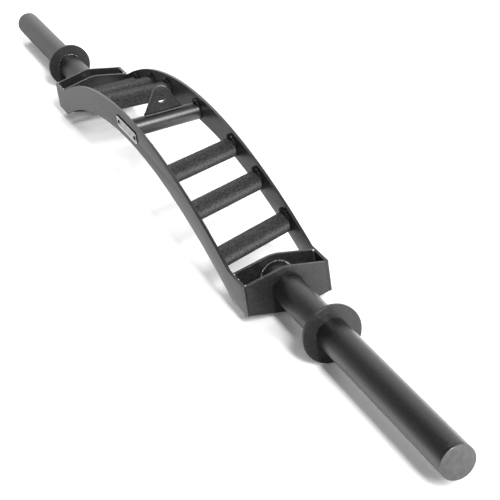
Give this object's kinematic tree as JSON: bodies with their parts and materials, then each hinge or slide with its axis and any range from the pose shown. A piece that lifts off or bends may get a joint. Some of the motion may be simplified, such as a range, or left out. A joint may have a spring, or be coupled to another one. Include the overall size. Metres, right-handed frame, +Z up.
{
  "type": "swiss bar",
  "caption": "Cambered multi-grip barbell: an arched flat-plate frame with slanted knurled grips, a hanging lug, and plain plate sleeves with collars.",
  "frame": {"origin": "under the middle of the bar, on the surface that the two collars stand on", "axes": "+X along the bar, +Y across it towards the back rail, +Z up through the crown of the arch"},
  "size_m": [2.124, 0.1438, 0.208],
  "materials": {
    "frame_coat": "satin",
    "sleeve_coat": "satin",
    "grip_coat": "matte",
    "plate_metal": "satin",
    "rivet_black": "satin"
  },
  "bodies": {
    "root": {"front_rail": "frame_coat", "back_rail": "frame_coat", "outer_cross_plate_left": "frame_coat", "outer_cross_plate_right": "frame_coat", "inner_cross_plate_left": "frame_coat", "inner_cross_plate_right": "frame_coat", "centre_bar": "frame_coat", "hanging_lug": "frame_coat", "lug_weld_left": "frame_coat", "lug_weld_right": "frame_coat", "inner_plate_weld_left": "frame_coat", "inner_plate_weld_right": "frame_coat", "box_weld_left_inner_front": "frame_coat", "box_weld_left_inner_back": "frame_coat", "box_weld_left_outer_front": "frame_coat", "box_weld_left_outer_back": "frame_coat", "box_weld_right_inner_front": "frame_coat", "box_weld_right_inner_back": "frame_coat", "box_weld_right_outer_front": "frame_coat", "box_weld_right_outer_back": "frame_coat", "grip_weld_left_1_front": "frame_coat", "grip_weld_left_1_back": "frame_coat", "grip_weld_left_2_front": "frame_coat", "grip_weld_left_2_back": "frame_coat", "grip_weld_left_3_front": "frame_coat", "grip_weld_left_3_back": "frame_coat", "grip_weld_right_1_front": "frame_coat", "grip_weld_right_1_back": "frame_coat", "grip_weld_right_2_front": "frame_coat", "grip_weld_right_2_back": "frame_coat", "grip_weld_right_3_front": "frame_coat", "grip_weld_right_3_back": "frame_coat", "centre_bar_weld_front": "frame_coat", "centre_bar_weld_back": "frame_coat", "sleeve_tube_left": "sleeve_coat", "sleeve_tube_right": "sleeve_coat", "collar_left": "sleeve_coat", "collar_right": "sleeve_coat", "end_cap_left": "sleeve_coat", "end_cap_right": "sleeve_coat", "outer_plate_weld_left": "sleeve_coat", "outer_plate_weld_right": "sleeve_coat", "collar_weld_left": "sleeve_coat", "collar_weld_right": "sleeve_coat", "grip_left_1": "grip_coat", "grip_left_2": "grip_coat", "grip_left_3": "grip_coat", "grip_right_1": "grip_coat", "grip_right_2": "grip_coat", "grip_right_3": "grip_coat", "name_plate": "plate_metal", "name_plate_rivet_left": "rivet_black", "name_plate_rivet_right": "rivet_black"}
  },
  "joints": []
}
